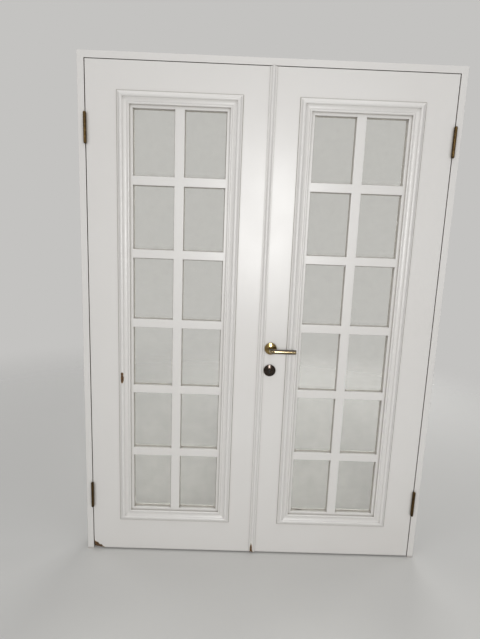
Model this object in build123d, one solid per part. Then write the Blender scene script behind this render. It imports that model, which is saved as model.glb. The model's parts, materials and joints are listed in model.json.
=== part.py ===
from build123d import *
import os

os.makedirs("parts", exist_ok=True)

# A pair of glazed leaves hung in a rebated timber frame, closed and on the latch.
# X runs across the doorway, Y goes in through it from the opening side, and Z is up.
# The origin is at floor level, midway between the jambs and midway through the leaves.
# The right leaf opens first. It carries the lock, the levers and the cover strip.
# The left leaf carries the strike and the two flush bolts.

# Panes, glazing bars and the mouldings round them
pane_width = 161.0
pane_height = 248.0
pane_columns = 2
pane_rows = 6
upright_bar = 38.0
cross_bar = 35.0
glass_thickness = 4.0
glass_cover = 24.0
grid_border = 26.0
grid_thickness = 15.0
grid_clearance = 0.5
bar_round = 2.5
moulding_inner = 12.0
moulding_width = 48.0
moulding_height = 11.0

# Leaves
leaf_thickness = 40.0
hinge_stile_face = 118.0
meeting_stile_face = 106.0
top_rail_face = 105.0
bottom_rail_face = 142.0
tenon_length = 45.0
tenon_thickness = 13.0
tenon_shoulder = 15.0
eased_edge = 1.5

# Gaps round the leaves
floor_gap = 8.0
head_gap = 3.0
side_gap = 3.0
meeting_gap = 4.0
stop_gap = 1.5

# Frame
jamb_thickness = 26.0
stop_lap = 14.0
frame_depth = 100.0
head_housing = 16.0
fixing_radius = 3.0
fixing_head_radius = 6.0
fixing_count = 3
fixing_from_end = 180.0
fixing_set_back = 30.0

# Butt hinges
hinge_height = 110.0
hinge_from_top = 190.0
hinge_from_bottom = 205.0
hinge_plate = 2.5
hinge_plate_width = 34.0
knuckle_count = 5
knuckle_radius = 6.0
knuckle_stand_off = 1.0
knuckle_gap = 0.4
pin_radius = 3.0
pin_fit = 0.08
pin_head_radius = 5.0
pin_head_height = 3.0
screw_rows = 3
screw_edge = 16.0

# Countersunk screws
screw_head_radius = 3.8
screw_shank_radius = 1.9
screw_length = 20.0
screw_clearance = 0.1

# Cover strip on the right leaf's meeting edge
strip_width = 26.0
strip_lap = 13.0
strip_height = 9.0
strip_edge = 2.4
strip_bead_width = 13.0
strip_bead_foot = 4.4
strip_relief = 0.5

# Lock, latch and key
handle_height = 953.0
backset = 40.0
lock_centres = 94.0
lock_case_depth = 60.0
lock_case_thickness = 15.0
lock_case_over = 40.0
lock_wall = 1.5
lock_pocket_clearance = 0.5
plate_thickness = 3.0
plate_width = 22.0
plate_over = 30.0
plate_screw_edge = 10.0
latch_throw = 10.0
latch_thickness = 10.0
latch_height = 16.0
latch_rise = 17.0
latch_bevel = 6.0
latch_swing_room = 2.4
latch_clearance = 0.4
tail_thickness = 2.0
tail_height = 6.0
deadbolt_throw = 14.0
deadbolt_thickness = 12.0
deadbolt_height = 24.0
deadbolt_rise = 20.0
deadbolt_length = 30.0
deadbolt_seat = 0.5
strike_pocket = 16.0

# Follower that turns the lever into latch travel
follower_radius = 8.0
follower_arm = 21.0
follower_arm_width = 4.0
follower_pin_radius = 2.0
follower_pin_height = 10.9
follower_pin_play = 1.0
follower_clearance = 0.4

# Levers, roses and key escutcheons
spindle_size = 8.0
spindle_clearance = 0.1
lever_radius = 9.5
lever_bend = 13.0
lever_projection = 62.0
lever_reach = 100.0
lever_socket = 28.0
lever_tip_round = 1.5
rose_radius = 25.0
rose_height = 9.0
rose_dome = 78.0
rose_edge_round = 1.5
escutcheon_height = 8.0
lever_clearance = 0.4
keyhole_radius = 4.0
keyhole_slot = 4.0
keyhole_drop = 13.0
handle_hole_radius = 11.5

# Flush bolts in the left leaf's meeting edge
bolt_radius = 4.0
bolt_travel = 15.0
bolt_plate_length = 180.0
bolt_set_in = 10.0
bolt_clearance = 0.4
bolt_slider_length = 26.0
bolt_slider_width = 12.0
bolt_thumb_width = 7.0
bolt_thumb_length = 16.0
bolt_rod_length = 150.0
bolt_screw_shift = 6.8
keep_length = 60.0
keep_width = 24.0

# Damage that the doors carry
chip_along = 40.0
chip_up = 29.0
chip_in = 10.0
chip_bite = 2.5
split_width = 10.0
split_height = 34.0
split_depth = 6.5
split_inset = 8.0
dent_width = 14.0
dent_length = 34.0
dent_depth = 5.0
dent_height = 804.0
dent_from_pane = 46.0
nick_width = 11.0
nick_depth = 4.0
nick_rise = 20.0

# Sizes that follow from those above
half_thickness = leaf_thickness / 2
moulding_reach = moulding_inner + moulding_width
grid_width = pane_columns * pane_width + (pane_columns - 1) * upright_bar
grid_height = pane_rows * pane_height + (pane_rows - 1) * cross_bar
leaf_width = hinge_stile_face + meeting_stile_face + 2 * moulding_reach + grid_width
leaf_height = top_rail_face + bottom_rail_face + 2 * moulding_reach + grid_height
meeting_edge = meeting_gap / 2
hinge_edge = meeting_edge + leaf_width
leaf_bottom = floor_gap
leaf_top = leaf_bottom + leaf_height
pane_left = meeting_edge + meeting_stile_face + moulding_reach
pane_right = pane_left + grid_width
pane_bottom = leaf_bottom + bottom_rail_face + moulding_reach
pane_top = pane_bottom + grid_height
frame_reach = grid_border + grid_clearance
opening_left = pane_left - frame_reach
opening_right = pane_right + frame_reach
opening_bottom = pane_bottom - frame_reach
opening_top = pane_top + frame_reach
grid_face = glass_thickness / 2 + grid_thickness
rebate_face = hinge_edge + side_gap
jamb_outer = rebate_face + jamb_thickness
stop_face = rebate_face - stop_lap
rebate_soffit = leaf_top + head_gap
stop_soffit = rebate_soffit - stop_lap
head_top = rebate_soffit + jamb_thickness
frame_front = -half_thickness
frame_back = frame_front + frame_depth
stop_front = half_thickness + stop_gap
pivot_x = hinge_edge + side_gap / 2
pivot_y = -(half_thickness + knuckle_radius + knuckle_stand_off)
spindle_x = meeting_edge + backset
key_height = handle_height - lock_centres
lock_bottom = key_height - lock_case_over
lock_top = handle_height + lock_case_over
case_front = meeting_edge + plate_thickness
case_back = case_front + lock_case_depth
half_case = lock_case_thickness / 2
deadbolt_height_centre = key_height + deadbolt_rise
latch_height_centre = handle_height + latch_rise
bolt_x = -(meeting_edge + bolt_set_in)


def block(x0, x1, y0, y1, z0, z1):
    """A box between two corners."""
    return Pos((x0 + x1) / 2, (y0 + y1) / 2, (z0 + z1) / 2) * Box(x1 - x0, y1 - y0, z1 - z0)


def rod(x, y, z0, z1, radius):
    """An upright cylinder."""
    return Pos(x, y, (z0 + z1) / 2) * Cylinder(radius, z1 - z0)


def through_rod(x, z, y0, y1, radius):
    """A cylinder that runs through the leaf from front to back."""
    return Pos(x, (y0 + y1) / 2, z) * Rot(90, 0, 0) * Cylinder(radius, y1 - y0)


def left_hand(shape):
    """The same piece on the other side of the doorway."""
    return shape.mirror(Plane.YZ)


def inner_side(shape):
    """The same piece on the inner face of the leaf."""
    return shape.mirror(Plane.XZ)


def group(shapes):
    """Separate solids that share one node."""
    return Compound([solid for shape in shapes for solid in shape.solids()])


def screw_form(grow):
    """A countersunk screw with its head at the origin, pointing down, or its hole."""
    head = screw_head_radius + grow
    shank = screw_shank_radius + grow
    length = screw_length + grow
    outline = Polyline(
        (0, 0), (head, 0), (shank, shank - head), (shank, 2 * shank - length), (0, -length), close=True
    )
    return revolve(Plane.XZ * make_face(outline), axis=Axis.Z)


def screws_at(places, direction, grow=0.0):
    """Screws with their heads at the places, driven along the direction."""
    back = -Vector(*direction)
    return [Plane(origin=place, z_dir=back) * screw_form(grow) for place in places]


def edge_screw_heights(low, high):
    """Two screw heights near the ends of a plate let into an edge."""
    return [low + plate_screw_edge, high - plate_screw_edge]


# Hinge places


def hinge_bottoms():
    """Height of the lower end of each hinge on a leaf."""
    return {
        "upper": leaf_top - hinge_from_top - hinge_height,
        "lower": leaf_bottom + hinge_from_bottom,
    }


def hinge_screw_heights(low):
    """Screw heights on one hinge plate."""
    span = hinge_height - 2 * screw_edge
    return [low + screw_edge + span * i / (screw_rows - 1) for i in range(screw_rows)]


def hinge_screw_places(low, x):
    """Screw heads on a hinge plate, staggered across its width."""
    middle = frame_front + hinge_plate_width / 2
    shift = hinge_plate_width / 5
    heights = hinge_screw_heights(low)
    return [(x, middle + shift * (1 if i % 2 else -1), z) for i, z in enumerate(heights)]


def knuckle_stack(low, first):
    """Every second knuckle of a hinge, from the first or the second up."""
    step = hinge_height / knuckle_count
    spans = []
    for i in range(first, knuckle_count, 2):
        start = low + i * step + (knuckle_gap / 2 if i else 0)
        end = low + (i + 1) * step - (knuckle_gap / 2 if i < knuckle_count - 1 else 0)
        spans.append((start, end))
    return spans


def hinge_leaf(low, first, x0, x1):
    """One plate of a butt hinge with its own knuckles, bored for the pin."""
    plate = block(x0, x1, frame_front, frame_front + hinge_plate_width, low, low + hinge_height)
    for start, end in knuckle_stack(low, first):
        plate += block(x0, x1, pivot_y, frame_front, start, end)
        plate += rod(pivot_x, pivot_y, start, end, knuckle_radius)
    return plate - rod(pivot_x, pivot_y, low - 1, low + hinge_height + 1, pin_radius + pin_fit)


def frame_hinge_leaf(low):
    """The plate let into the jamb."""
    plate = hinge_leaf(low, 0, rebate_face, rebate_face + hinge_plate)
    places = hinge_screw_places(low, rebate_face)
    return plate - screws_at(places, (1, 0, 0), screw_clearance)


def door_hinge_leaf(low):
    """The plate let into the edge of the leaf."""
    plate = hinge_leaf(low, 1, hinge_edge - hinge_plate, hinge_edge)
    places = hinge_screw_places(low, hinge_edge)
    return plate - screws_at(places, (-1, 0, 0), screw_clearance)


def hinge_pin(low):
    """The pin through the knuckles, with a button at each end."""
    high = low + hinge_height
    pin = rod(pivot_x, pivot_y, low, high, pin_radius)
    pin += rod(pivot_x, pivot_y, high, high + pin_head_height, pin_head_radius)
    pin += rod(pivot_x, pivot_y, low - pin_head_height, low, pin_head_radius)
    rims = pin.edges().filter_by(GeomType.CIRCLE).filter_by(lambda e: e.radius > pin_radius + 0.5)
    ends = [e for e in rims if e.center().Z > high + 1 or e.center().Z < low - 1]
    return fillet(ends, pin_head_height / 2)


# Frame


def jamb(head_piece):
    """The right jamb: rebated, housed for the head, cut for its hinges and drilled."""
    post = block(rebate_face, jamb_outer, frame_front, frame_back, 0, head_top)
    post += block(stop_face, rebate_face, stop_front, frame_back, 0, head_top)
    arrises = post.edges().filter_by(Axis.Z).sort_by(Axis.Y)
    post = fillet(arrises[:2], eased_edge)
    cuts = [head_piece]
    for low in hinge_bottoms().values():
        cuts.append(
            block(rebate_face, rebate_face + hinge_plate, frame_front - 1,
                  frame_front + hinge_plate_width, low, low + hinge_height)
        )
        cuts += screws_at(hinge_screw_places(low, rebate_face), (1, 0, 0), screw_clearance)
    fixing_spacing = (head_top - 2 * fixing_from_end) / (fixing_count - 1)
    for i in range(fixing_count):
        height = fixing_from_end + i * fixing_spacing
        depth = frame_back - fixing_set_back
        sink = fixing_head_radius - fixing_radius
        hole = Cylinder(fixing_radius, jamb_outer - stop_face + 2)
        cuts.append(Pos((stop_face + jamb_outer) / 2, depth, height) * Rot(0, 90, 0) * hole)
        cone = Cone(fixing_radius, fixing_head_radius, sink)
        cuts.append(Pos(stop_face + sink / 2, depth, height) * Rot(0, -90, 0) * cone)
    return post - cuts


def head():
    """The head of the frame, rebated like the jambs, with its ends housed in them."""
    reach = rebate_face + head_housing
    beam = block(-reach, reach, frame_front, frame_back, rebate_soffit, head_top)
    beam += block(-reach, reach, stop_front, frame_back, stop_soffit, rebate_soffit)
    return beam


def head_keep():
    """The plate in the head that takes the top flush bolt."""
    left = bolt_x - keep_length / 2
    plate = block(left, left + keep_length, -keep_width / 2, keep_width / 2,
                  rebate_soffit, rebate_soffit + hinge_plate)
    bore = rod(bolt_x, 0, rebate_soffit - 1, rebate_soffit + hinge_plate + 1, bolt_radius + bolt_clearance)
    return plate - [bore] - screws_at(keep_screw_places(), (0, 0, 1), screw_clearance)


def keep_screw_places():
    """Screw heads on the keep."""
    inset = keep_length / 2 - plate_screw_edge
    return [(bolt_x - inset, 0, rebate_soffit), (bolt_x + inset, 0, rebate_soffit)]


def finished_head(beam):
    """The head with the recess and socket for its keep."""
    left = bolt_x - keep_length / 2
    recess = block(left, left + keep_length, -keep_width / 2, keep_width / 2,
                   rebate_soffit - 1, rebate_soffit + hinge_plate)
    depth = bolt_travel - head_gap + 3
    socket = rod(bolt_x, 0, rebate_soffit, rebate_soffit + depth, bolt_radius + bolt_clearance)
    screws = screws_at(keep_screw_places(), (0, 0, 1), screw_clearance)
    return beam - [recess, socket] - screws


# Leaf frame


def rail_spans():
    """Lower and upper edge of each rail of a leaf."""
    return {"top_rail": (opening_top, leaf_top), "bottom_rail": (leaf_bottom, opening_bottom)}


def tenon(name, side):
    """The tenon at one end of a rail."""
    low, high = rail_spans()[name]
    x0 = opening_left - tenon_length if side == "meeting" else opening_right
    return block(x0, x0 + tenon_length, -tenon_thickness / 2, tenon_thickness / 2,
                 low + tenon_shoulder, high - tenon_shoulder)


def rail(name):
    """A rail with a tenon at each end."""
    low, high = rail_spans()[name]
    bar = block(opening_left, opening_right, -half_thickness, half_thickness, low, high)
    return bar + tenon(name, "meeting") + tenon(name, "hinge")


def stile(x0, x1, side):
    """A stile with its outer arrises eased and its mortises cut."""
    post = block(x0, x1, -half_thickness, half_thickness, leaf_bottom, leaf_top)
    outer = x0 if side == "meeting" else x1
    arrises = [e for e in post.edges().filter_by(Axis.Z) if abs(e.center().X - outer) < 0.01]
    post = fillet(arrises, eased_edge)
    return post - [tenon(name, side) for name in rail_spans()]


def hinge_stile():
    """The right-hand hinge stile, let in for its two hinge plates."""
    post = stile(opening_right, hinge_edge, "hinge")
    cuts = []
    for low in hinge_bottoms().values():
        cuts.append(
            block(hinge_edge - hinge_plate, hinge_edge + 1, -half_thickness - 1,
                  frame_front + hinge_plate_width, low, low + hinge_height)
        )
        cuts += screws_at(hinge_screw_places(low, hinge_edge), (-1, 0, 0), screw_clearance)
    return post - cuts


def edge_recess(low, high):
    """The recess in a right-hand meeting edge for a plate."""
    return block(meeting_edge - 1, case_front, -plate_width / 2, plate_width / 2, low, high)


def meeting_stile():
    """A right-hand meeting stile before any lock or bolt is let in."""
    return stile(meeting_edge, opening_left, "meeting")


def lock_stile():
    """The right leaf's meeting stile, morticed for the lock and drilled for levers and key."""
    room = lock_pocket_clearance
    pocket = block(case_front - 1, case_back + room, -half_case - room, half_case + room,
                   lock_bottom - room, lock_top + room)
    recess = edge_recess(lock_bottom - plate_over, lock_top + plate_over)
    handle_hole = through_rod(spindle_x, handle_height, -half_thickness - 1, half_thickness + 1,
                              handle_hole_radius)
    screws = screws_at(faceplate_screw_places(), (1, 0, 0), screw_clearance)
    return meeting_stile() - [pocket, recess, handle_hole, keyhole(half_thickness + 1)] - screws


def strike_openings(x0, x1):
    """The spaces that the latch and the deadbolt enter, with room for the latch to swing clear."""
    latch = block(x0, x1, -latch_thickness / 2 - latch_swing_room, latch_thickness / 2 + latch_clearance,
                  latch_height_centre - latch_height / 2 - latch_clearance,
                  latch_height_centre + latch_height / 2 + latch_clearance)
    half = deadbolt_thickness / 2 + latch_clearance
    bolt = block(x0, x1, -half, half,
                 deadbolt_height_centre - deadbolt_height / 2 - latch_clearance,
                 deadbolt_height_centre + deadbolt_height / 2 + latch_clearance)
    return [latch, bolt]


def strike_stile():
    """The left leaf's meeting stile, drawn right-handed: strike recess, pockets and bolt mortises."""
    low = lock_bottom - plate_over
    high = lock_top + plate_over
    cuts = [edge_recess(low, high)]
    cuts += strike_openings(case_front - 1, case_front + strike_pocket)
    cuts += screws_at(strike_screw_places(), (1, 0, 0), screw_clearance)
    for end in ("top", "bottom"):
        cuts += bolt_mortise(end)
    return meeting_stile() - cuts


# Glazing


def glazing_grid():
    """One face of the glazing bars, cut from a single board, with rounded pane edges."""
    board = block(pane_left - grid_border, pane_right + grid_border, -grid_face, -glass_thickness / 2,
                  pane_bottom - grid_border, pane_top + grid_border)
    holes = []
    for column in range(pane_columns):
        for row in range(pane_rows):
            x = pane_left + column * (pane_width + upright_bar)
            z = pane_bottom + row * (pane_height + cross_bar)
            holes.append(block(x, x + pane_width, -grid_face - 1, 0, z, z + pane_height))
    board = board - holes
    front = board.faces().sort_by(Axis.Y)[0]
    return fillet(front.inner_wires().edges(), bar_round)


def glass():
    """The pane held between the two grids."""
    return block(pane_left - glass_cover, pane_right + glass_cover, -glass_thickness / 2,
                 glass_thickness / 2, pane_bottom - glass_cover, pane_top + glass_cover)


def moulding_section():
    """Section of the moulding. It runs out from the panes, and rises from the leaf's face."""
    inner = moulding_inner
    outer = moulding_reach
    high = moulding_height
    step = (grid_border + frame_reach) / 2
    sink = half_thickness - grid_face
    bead = inner + 9
    cove = outer - 23
    crown = outer - 16
    slope = outer - 9.5
    lines = [
        Line((inner, -sink), (inner, 1.5)),
        ThreePointArc((inner, 1.5), ((inner + bead) / 2, 4.6), (bead, 1.8)),
        ThreePointArc((bead, 1.8), ((bead + cove) / 2 + 1, 2.4), (cove, high / 2)),
        Line((cove, high / 2), (cove + 1, high - 3)),
        ThreePointArc((cove + 1, high - 3), (crown, high), (slope, high - 2)),
        ThreePointArc((slope, high - 2), (slope + 3.6, high / 2 - 1), (outer - 1, 2)),
        Polyline((outer - 1, 2), (outer, 1.6), (outer, 0), (step, 0), (step, -sink), (inner, -sink)),
    ]
    flat = make_face(Curve() + lines)
    return Plane(origin=(0, 0, 0), x_dir=(0, 0, -1), z_dir=(-1, 0, 0)) * flat


def moulding_length(length):
    """One length along +X, mitred at both ends, with the panes above it and the front at -Y."""
    over = moulding_reach
    run = Pos(-over, 0, 0) * extrude(moulding_section(), amount=length + 2 * over, dir=(1, 0, 0))
    past = over + 1
    outline = Polyline((0, 0), (length, 0), (length + past, -past), (-past, -past), close=True)
    mitre = extrude(Plane.XZ * make_face(outline), amount=half_thickness, both=True)
    return run & mitre


def moulding():
    """Four mitred lengths round the panes, on the front face of the right leaf."""
    corners = [
        (0, pane_left, pane_bottom, grid_width),
        (90, pane_left, pane_top, grid_height),
        (180, pane_right, pane_top, grid_width),
        (270, pane_right, pane_bottom, grid_height),
    ]
    return [
        Pos(x, -half_thickness, z) * Rot(0, turn, 0) * moulding_length(length)
        for turn, x, z, length in corners
    ]


def dented_moulding():
    """The left leaf's front moulding, with a knock in its hinge-side length."""
    x = pane_right + dent_from_pane
    front = -(half_thickness + moulding_height)
    dent = gouge((x, front, dent_height), dent_width, dent_length, dent_depth)
    nick = gouge((x, front, dent_height + nick_rise), nick_width, nick_width, nick_depth)
    return [left_hand(length - dent - nick) for length in moulding()]


def gouge(place, width, length, depth):
    """The hollow that an upright knock leaves in a front face, as a cutter centred on the place."""
    x, y, z = place
    radius = (width**2 / 4 + depth**2) / (2 * depth)
    stretch = length / width
    return Pos(x, y - radius + depth, z) * scale(Sphere(radius), by=(1, 1, stretch))


# Meeting edge


def strip_section():
    """Half-round bead between two hollow flanks, with the leaf's face at y zero."""
    edge = strip_width / 2
    foot = strip_bead_width / 2
    hollow = (edge + foot) / 2
    dip = (strip_edge + strip_bead_foot) / 2 - 0.6
    lines = [
        Polyline((-edge, -strip_edge), (-edge, 0), (edge, 0), (edge, -strip_edge)),
        ThreePointArc((edge, -strip_edge), (hollow, -dip), (foot, -strip_bead_foot)),
        ThreePointArc((foot, -strip_bead_foot), (0, -strip_height), (-foot, -strip_bead_foot)),
        ThreePointArc((-foot, -strip_bead_foot), (-hollow, -dip), (-edge, -strip_edge)),
    ]
    return make_face(Curve() + lines)


def cover_strip():
    """The moulded strip that covers the meeting gap, fixed to the right leaf's face."""
    outer = meeting_edge - strip_lap
    face = -half_thickness
    section = Pos(outer + strip_width / 2, face, leaf_bottom) * strip_section()
    strip = extrude(section, amount=leaf_height, dir=(0, 0, 1))
    relief = block(outer - 1, meeting_edge, face - strip_relief, 0, leaf_bottom - 1, leaf_top + 1)
    foot = (outer + split_inset, face - strip_height, leaf_bottom)
    split = gouge(foot, split_width, 2 * split_height, split_depth)
    crush = gouge(foot, 2 * split_width, split_height / 2, split_depth)
    return strip - relief - split - crush


def broken_corner(*corners):
    """Cutters for a ragged break through three points, away from the middle of the doors."""
    a, b, c = (Vector(*corner) for corner in corners)
    span = (b - a).length
    normal = (b - a).cross(c - a).normalized()
    if normal.Z > 0:
        normal = -normal
    main = Plane(origin=(a + b) / 2, x_dir=(b - a), z_dir=normal)
    slab = Pos(0, 0, span) * Box(3 * span, 3 * span, 2 * span)
    bite = Box(span / 3, span / 4, span / 2)
    upper_bite = main * Pos(span / 5, 0, span / 4 - chip_bite) * Rot(12, -9, 24) * bite
    lower_bite = main * Pos(-span / 4, 0, span / 4 - chip_bite) * Rot(-8, 14, -17) * bite
    return [main * slab, upper_bite, lower_bite]


def chipped_hinge_stile():
    """The left leaf's hinge stile, with its bottom front corner broken away."""
    edge = -hinge_edge
    face = -half_thickness
    cutters = broken_corner(
        (edge + chip_along, face, leaf_bottom),
        (edge, face, leaf_bottom + chip_up),
        (edge, face + chip_in, leaf_bottom),
    )
    return left_hand(hinge_stile()) - cutters


# Lock


def keyhole(reach):
    """The keyhole as a cutter that reaches this far each side of the leaf's middle."""
    barrel = through_rod(spindle_x, key_height, -reach, reach, keyhole_radius)
    half = keyhole_slot / 2
    return barrel + block(spindle_x - half, spindle_x + half, -reach, reach,
                          key_height - keyhole_drop, key_height)


def faceplate_screw_places():
    """Screw heads on the lock's face plate."""
    heights = edge_screw_heights(lock_bottom - plate_over, lock_top + plate_over)
    return [(meeting_edge, 0, z) for z in heights]


def strike_screw_places():
    """Screw heads on the strike, drawn right-handed."""
    return faceplate_screw_places()


def latch_window(x0, x1, play):
    """The hole that the latch slides through."""
    half = latch_thickness / 2 + play
    return block(x0, x1, -half, half, latch_height_centre - latch_height / 2 - play,
                 latch_height_centre + latch_height / 2 + play)


def deadbolt_window(x0, x1, play):
    """The hole that the deadbolt slides through."""
    half = deadbolt_thickness / 2 + play
    return block(x0, x1, -half, half, deadbolt_height_centre - deadbolt_height / 2 - play,
                 deadbolt_height_centre + deadbolt_height / 2 + play)


def lock_faceplate():
    """The plate in the leaf's edge that the bolts pass through."""
    plate = block(meeting_edge, case_front, -plate_width / 2, plate_width / 2,
                  lock_bottom - plate_over, lock_top + plate_over)
    cuts = [latch_window(0, case_front + 1, latch_clearance)]
    cuts.append(deadbolt_window(0, case_front + 1, latch_clearance))
    cuts += screws_at(faceplate_screw_places(), (1, 0, 0), screw_clearance)
    return plate - cuts


def lock_case():
    """The tray of the lock: one side and the walls round it."""
    tray = block(case_front, case_back, -half_case + lock_wall, half_case, lock_bottom, lock_top)
    tray -= block(case_front + lock_wall, case_back - lock_wall, -half_case - 1, half_case - lock_wall,
                  lock_bottom + lock_wall, lock_top - lock_wall)
    return tray - lock_bores()


def lock_cover():
    """The cover that closes the tray on the opening side."""
    lid = block(case_front, case_back, -half_case, -half_case + lock_wall, lock_bottom, lock_top)
    return lid - lock_bores()


def lock_bores():
    """Holes in the tray and its cover for the bolts, the follower and the key."""
    room = follower_radius + follower_clearance
    bores = [through_rod(spindle_x, handle_height, -half_case - 1, half_case + 1, room)]
    bores.append(keyhole(half_case + 1))
    bores.append(latch_window(case_front - 1, case_front + lock_wall + 1, latch_clearance))
    bores.append(deadbolt_window(case_front - 1, case_front + lock_wall + 1, latch_clearance))
    return bores


def follower():
    """The hub that the spindle turns, with the arm that draws the latch back."""
    hub = through_rod(spindle_x, handle_height, -half_case, half_case, follower_radius)
    half = follower_arm_width / 2
    arm = block(spindle_x - half, spindle_x + half, -half, half, handle_height,
                handle_height + follower_arm)
    socket = spindle_size / 2 + spindle_clearance
    return hub + arm - block(spindle_x - socket, spindle_x + socket, -half_case - 1, half_case + 1,
                             handle_height - socket, handle_height + socket)


def latch_bolt():
    """The bevelled latch, its tail beside the follower's arm, and the pin that the arm pushes."""
    low = latch_height_centre - latch_height / 2
    high = latch_height_centre + latch_height / 2
    front = meeting_edge - latch_throw
    back = spindle_x - follower_radius - follower_arm_width
    bolt = block(front, back, -latch_thickness / 2, latch_thickness / 2, low, high)
    nose = Polyline(
        (front - 1, latch_thickness / 2 + 1), (front - 1, latch_thickness / 2 - latch_bevel),
        (front, latch_thickness / 2 - latch_bevel), (meeting_edge, latch_thickness / 2),
        (meeting_edge, latch_thickness / 2 + 1), close=True
    )
    bolt -= Pos(0, 0, low - 1) * extrude(make_face(nose), amount=latch_height + 2, dir=(0, 0, 1))
    pin_x = spindle_x + follower_arm_width / 2 + follower_pin_radius + follower_pin_play
    pin_z = handle_height + follower_pin_height
    side = latch_thickness / 2
    tail = block(back - 1, pin_x + follower_pin_radius, side - tail_thickness, side,
                 pin_z - follower_pin_radius, low + tail_height)
    pin = through_rod(pin_x, pin_z, -follower_arm_width / 2, side, follower_pin_radius)
    return bolt + tail + pin


def deadbolt():
    """The deadbolt, drawn back, with a plate behind it that the key's bit moves."""
    back = meeting_edge + deadbolt_seat + deadbolt_length
    low = deadbolt_height_centre - deadbolt_height / 2
    high = deadbolt_height_centre + deadbolt_height / 2
    half = deadbolt_thickness / 2
    bolt = block(meeting_edge + deadbolt_seat, back, -half, half, low, high)
    plate_end = back + deadbolt_length / 2
    plate = block(back - 1, plate_end, -tail_thickness / 2, tail_thickness / 2, low, high)
    talon = block(back + 2, plate_end - 4, -half, half, low - 1, low + deadbolt_height / 3)
    return bolt + (plate - talon)


# Levers, roses and escutcheons


def lever():
    """The outer lever: a round bar that leaves the rose, bends and runs toward the hinges."""
    start = -half_case - latch_clearance
    axis_y = -(half_thickness + lever_projection) + lever_radius
    corner = axis_y + lever_bend
    path = Curve() + [
        Line((0, start, 0), (0, corner, 0)),
        RadiusArc((0, corner, 0), (lever_bend, axis_y, 0), -lever_bend),
        Line((lever_bend, axis_y, 0), (lever_reach, axis_y, 0)),
    ]
    section = Plane(origin=(0, start, 0), z_dir=(0, -1, 0)) * Circle(lever_radius)
    bar = sweep(section, path=path)
    tip = bar.edges().filter_by(GeomType.CIRCLE).sort_by(Axis.X)[-1]
    bar = fillet(tip, lever_tip_round)
    half = spindle_size / 2 + spindle_clearance
    socket = block(-half, half, start - lever_socket, start + 1, -half, half)
    return Pos(spindle_x, 0, handle_height) * (bar - socket)


def spindle():
    """The square bar that joins the levers through the follower."""
    half = spindle_size / 2
    reach = half_case + latch_clearance + lever_socket - 1
    return block(spindle_x - half, spindle_x + half, -reach, reach, handle_height - half,
                 handle_height + half)


def turned_disc(height, bore):
    """A turned round plate with a gently domed face, on the outer face at the origin."""
    dome = Pos(0, height - rose_dome) * Circle(rose_dome)
    section = dome & (Pos(rose_radius / 2, height / 2) * Rectangle(rose_radius, height))
    rim = section.vertices().group_by(Axis.X)[-1].sort_by(Axis.Y)[-1]
    section = fillet(rim, rose_edge_round)
    disc = revolve(Plane.XZ * section, axis=Axis.Z) - Cylinder(bore, 3 * height)
    return Plane(origin=(0, -half_thickness, 0), z_dir=(0, -1, 0)) * disc


def rose():
    """The rose round the lever's neck."""
    return Pos(spindle_x, 0, handle_height) * turned_disc(rose_height, lever_radius + lever_clearance)


def escutcheon():
    """The plate round the keyhole."""
    disc = Pos(spindle_x, 0, key_height) * turned_disc(escutcheon_height, keyhole_radius)
    return disc - keyhole(half_thickness + escutcheon_height + 1)


# Strike and flush bolts, drawn right-handed


def strike_plate():
    """The plate in the left leaf's edge that takes the latch and the deadbolt."""
    plate = block(meeting_edge, case_front, -plate_width / 2, plate_width / 2,
                  lock_bottom - plate_over, lock_top + plate_over)
    return plate - strike_openings(0, case_front + 1) - screws_at(
        strike_screw_places(), (1, 0, 0), screw_clearance)


def bolt_ends(end):
    """Outer height, direction inward and plate limits of a flush bolt."""
    if end == "top":
        return leaf_top, -1, (leaf_top - bolt_plate_length, leaf_top)
    return leaf_bottom, 1, (leaf_bottom, leaf_bottom + bolt_plate_length)


def slider_span(end):
    """Lower and upper end of the slider, with the bolt drawn back."""
    outer, inward, _ = bolt_ends(end)
    far = outer + inward * bolt_rod_length
    near = far - inward * bolt_slider_length
    return min(near, far), max(near, far)


def travel_span(end):
    """Lower and upper end of the room that the slider needs."""
    low, high = slider_span(end)
    if end == "top":
        return low - bolt_clearance, high + bolt_travel + bolt_clearance
    return low - bolt_travel - bolt_clearance, high + bolt_clearance


def thumb_span(end):
    """Lower and upper end of the thumb piece on the slider."""
    low, high = slider_span(end)
    middle = (low + high) / 2
    return middle - bolt_thumb_length / 2, middle + bolt_thumb_length / 2


def bolt_screw_places(end):
    """Screw heads on a flush bolt's plate: one past the slider, and one each side of the rod."""
    outer, inward, _ = bolt_ends(end)
    near = outer + inward * plate_screw_edge
    far = outer + inward * (bolt_plate_length - plate_screw_edge)
    return [
        (meeting_edge, 0, far),
        (meeting_edge, bolt_screw_shift, near),
        (meeting_edge, -bolt_screw_shift, near),
    ]


def bolt_mortise(end):
    """What is cut from the stile for one flush bolt."""
    _, _, (low, high) = bolt_ends(end)
    room_low, room_high = travel_span(end)
    half = bolt_slider_width / 2 + bolt_clearance
    x = -bolt_x
    pocket = block(case_front - 1, x + half, -half, half, room_low, room_high)
    outer = high + 1 if end == "top" else low - 1
    near = room_high if end == "top" else room_low
    bore = rod(x, 0, min(outer, near), max(outer, near), bolt_radius + bolt_clearance)
    plate = edge_recess(low - 1, high + 1)
    return [plate, pocket, bore] + screws_at(bolt_screw_places(end), (1, 0, 0), screw_clearance)


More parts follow.
